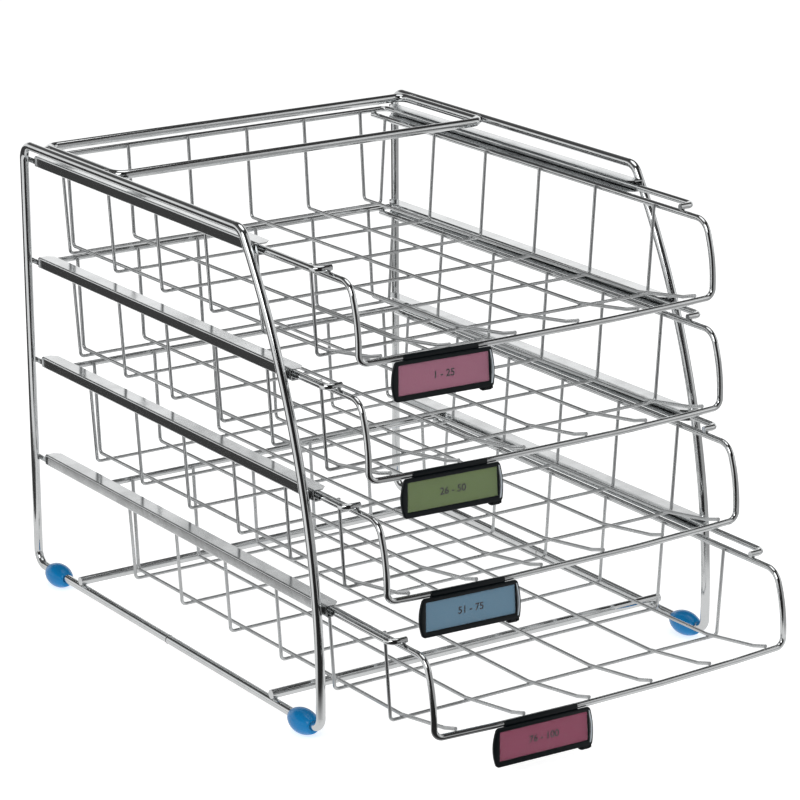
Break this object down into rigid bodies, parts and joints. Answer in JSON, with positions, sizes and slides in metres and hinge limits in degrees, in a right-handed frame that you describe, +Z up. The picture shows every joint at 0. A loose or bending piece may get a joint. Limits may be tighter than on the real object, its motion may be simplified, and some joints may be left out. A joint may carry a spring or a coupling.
{
  "type": "letter tray stack with drawers",
  "caption": "Chromed wire stand with sliding wire letter trays in folded sheet runners, each with a swinging label holder on its front bar.",
  "frame": {"origin": "on the floor under the middle of the stack's box, with the trays pulled out as stored", "axes": "+Z up, the open front faces -Y, +X to the right as seen from the front"},
  "size_m": [0.3186, 0.4778, 0.3104],
  "materials": {
    "chrome_wire": "bright chromed steel wire",
    "runner_sheet": "bright chromed folded sheet",
    "tray_wire": "bright chromed steel wire",
    "grid_wire": "chromed thin steel wire",
    "foot_plastic": "smooth blue moulded plastic",
    "holder_plastic": "satin black moulded plastic",
    "window_plastic": "clear plastic sheet",
    "card_1": "matt coloured card",
    "card_2": "matt coloured card",
    "card_3": "matt coloured card",
    "card_4": "matt coloured card"
  },
  "bodies": {
    "stand": {"side_frame_left": "chrome_wire", "side_frame_right": "chrome_wire", "brace_ring": "chrome_wire", "cross_bar_rear": "chrome_wire", "cross_bar_front": "chrome_wire", "foot_rear_left": "foot_plastic", "foot_rear_right": "foot_plastic", "foot_front_left": "foot_plastic", "foot_front_right": "foot_plastic", "runner_left_1": "runner_sheet", "runner_left_2": "runner_sheet", "runner_left_3": "runner_sheet", "runner_left_4": "runner_sheet", "runner_right_1": "runner_sheet", "runner_right_2": "runner_sheet", "runner_right_3": "runner_sheet", "runner_right_4": "runner_sheet"},
    "tray_1": {"tray_1_hoop": "tray_wire", "tray_1_slide_wire": "tray_wire", "tray_1_cross_wires": "grid_wire", "tray_1_floor_wires": "grid_wire"},
    "tray_2": {"tray_2_hoop": "tray_wire", "tray_2_slide_wire": "tray_wire", "tray_2_cross_wires": "grid_wire", "tray_2_floor_wires": "grid_wire"},
    "tray_3": {"tray_3_hoop": "tray_wire", "tray_3_slide_wire": "tray_wire", "tray_3_cross_wires": "grid_wire", "tray_3_floor_wires": "grid_wire"},
    "tray_4": {"tray_4_hoop": "tray_wire", "tray_4_slide_wire": "tray_wire", "tray_4_cross_wires": "grid_wire", "tray_4_floor_wires": "grid_wire"},
    "label_1": {"label_1_holder": "holder_plastic", "label_1_card": "card_1", "label_1_window": "window_plastic"},
    "label_2": {"label_2_holder": "holder_plastic", "label_2_card": "card_2", "label_2_window": "window_plastic"},
    "label_3": {"label_3_holder": "holder_plastic", "label_3_card": "card_3", "label_3_window": "window_plastic"},
    "label_4": {"label_4_holder": "holder_plastic", "label_4_card": "card_4", "label_4_window": "window_plastic"}
  },
  "joints": [
    {"name": "tray_1_slide", "type": "slide", "parent": "stand", "child": "tray_1", "axis": [0, -1, 0], "range_m": [0, 0.2]},
    {"name": "tray_2_slide", "type": "slide", "parent": "stand", "child": "tray_2", "axis": [0, -1, 0], "range_m": [-0.01, 0.19]},
    {"name": "tray_3_slide", "type": "slide", "parent": "stand", "child": "tray_3", "axis": [0, -1, 0], "range_m": [-0.029, 0.171]},
    {"name": "tray_4_slide", "type": "slide", "parent": "stand", "child": "tray_4", "axis": [0, -1, 0], "range_m": [-0.0785, 0.1215]},
    {"name": "label_1_swing", "type": "hinge", "parent": "tray_1", "child": "label_1", "pos_m": [-0.07945, -0.15344, 0.2438], "axis": [-0.9983, 0.0579, 0], "range_deg": [-20, 25]},
    {"name": "label_2_swing", "type": "hinge", "parent": "tray_2", "child": "label_2", "pos_m": [-0.07975, -0.16342, 0.1736], "axis": [-0.9983, 0.0581, 0], "range_deg": [-20, 25]},
    {"name": "label_3_swing", "type": "hinge", "parent": "tray_3", "child": "label_3", "pos_m": [-0.07965, -0.18243, 0.1034], "axis": [-0.9983, 0.058, 0], "range_deg": [-20, 25]},
    {"name": "label_4_swing", "type": "hinge", "parent": "tray_4", "child": "label_4", "pos_m": [-0.06125, -0.23288, 0.0332], "axis": [-0.999, 0.0446, 0], "range_deg": [-20, 25]}
  ]
}
